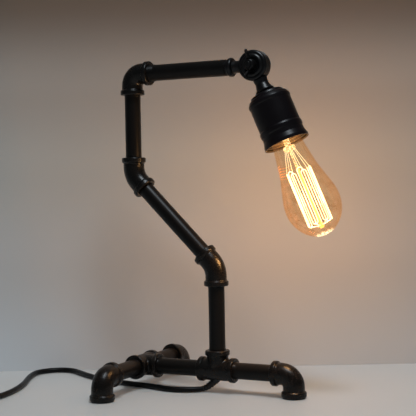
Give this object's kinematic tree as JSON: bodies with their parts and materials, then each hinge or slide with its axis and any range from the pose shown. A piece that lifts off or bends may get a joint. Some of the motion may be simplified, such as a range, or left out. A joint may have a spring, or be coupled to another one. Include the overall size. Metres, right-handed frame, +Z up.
{
  "type": "pipe table lamp",
  "caption": "Table lamp of threaded iron pipe: footed base, cranked column and arm, tilting lamp holder with a wing nut and a teardrop filament bulb.",
  "frame": {"origin": "on the table, at the middle of the lamp's box without its cord", "axes": "+Z up; +X the way the arm reaches; the cross bar of the base lies along Y, so the fixed parts of the lamp lie about the plane Y = 0"},
  "size_m": [0.4237, 0.3824, 0.3525],
  "materials": {
    "fitting": "satin black coat over cast skin",
    "pipe": "satin black",
    "pad_rubber": "matt",
    "swivel_metal": "satin black over turned metal",
    "washer_fibre": "matt fibre",
    "fastener_black": "black oxide",
    "cup_metal": "dark bronze-black, satin",
    "steel_inner": "plain",
    "porcelain": null,
    "holder_brass": "plain",
    "wire_sleeve": "plain",
    "amber_glass": "clear amber, lit",
    "cap_brass": "plain",
    "cap_insulator": "dark glass",
    "contact_metal": "plain",
    "stem_glass": "clear",
    "filament_glow": "glowing; stands in for carbon thread",
    "support_wire": "plain wire",
    "boot_rubber": "matt",
    "cord_jacket": "soft satin jacket",
    "tie_plastic": "matt",
    "switch_shell": "fine matt grain",
    "rocker_plastic": "gloss",
    "plug_rubber": "matt",
    "blade_metal": "nickel on brass"
  },
  "bodies": {
    "stand": {"riser_tee": "fitting", "cross_tee": "fitting", "right_foot_elbow": "fitting", "front_foot_elbow": "fitting", "rear_foot_elbow": "fitting", "lower_elbow_45": "fitting", "upper_elbow_45": "fitting", "top_elbow_90": "fitting", "link_nipple": "pipe", "right_nipple": "pipe", "front_nipple": "pipe", "rear_nipple": "pipe", "riser_pipe": "pipe", "diagonal_pipe": "pipe", "upper_pipe": "pipe", "arm_pipe": "pipe", "foot_pads": "pad_rubber", "arm_collar": "swivel_metal", "swivel_arm_half": "swivel_metal", "friction_washer": "washer_fibre", "plain_washer": "fastener_black", "swivel_bolt": "fastener_black", "cord_boot": "boot_rubber", "mains_cord": "cord_jacket", "cord_lead": "cord_jacket", "cord_coil": "cord_jacket", "cord_tail": "cord_jacket", "inner_cable": "cord_jacket", "coil_tie": "tie_plastic", "switch_base": "switch_shell", "switch_cover": "switch_shell", "plug_body": "plug_rubber", "plug_blades": "blade_metal"},
    "socket_head": {"swivel_socket_half": "swivel_metal", "hollow_nipple": "steel_inner", "lock_nut": "steel_inner", "holder_cup": "cup_metal", "holder_bracket": "steel_inner", "insulator": "porcelain", "screw_shell": "holder_brass", "centre_contact": "holder_brass", "holder_screws": "steel_inner", "terminal_screws": "holder_brass", "lead_wires": "wire_sleeve"},
    "bulb": {"bulb_glass": "amber_glass", "bulb_cap": "cap_brass", "bulb_cap_insulator": "cap_insulator", "bulb_contact": "contact_metal", "bulb_stem": "stem_glass", "filament": "filament_glow", "filament_supports": "support_wire"},
    "wing_nut": {"wing_nut": "fastener_black"},
    "rocker": {"switch_rocker": "rocker_plastic"}
  },
  "joints": [
    {"name": "head_tilt", "type": "hinge", "parent": "stand", "child": "socket_head", "pos_m": [0.03359, 0, 0.33667], "axis": [0, -1, 0], "range_deg": [-33.2, 166.8]},
    {"name": "wing_nut_turn", "type": "hinge", "parent": "stand", "child": "wing_nut", "pos_m": [0.03359, -0.01267, 0.33667], "axis": [0, -1, 0], "continuous": true},
    {"name": "bulb_turn", "type": "hinge", "parent": "socket_head", "child": "bulb", "pos_m": [0.05881, 0, 0.27784], "axis": [0.3939, 0, -0.9191], "continuous": true},
    {"name": "rocker_tilt", "type": "hinge", "parent": "stand", "child": "rocker", "pos_m": [-0.2085, -0.176, 0.012], "axis": [1, 0, 0], "range_deg": [-18, 0]}
  ]
}
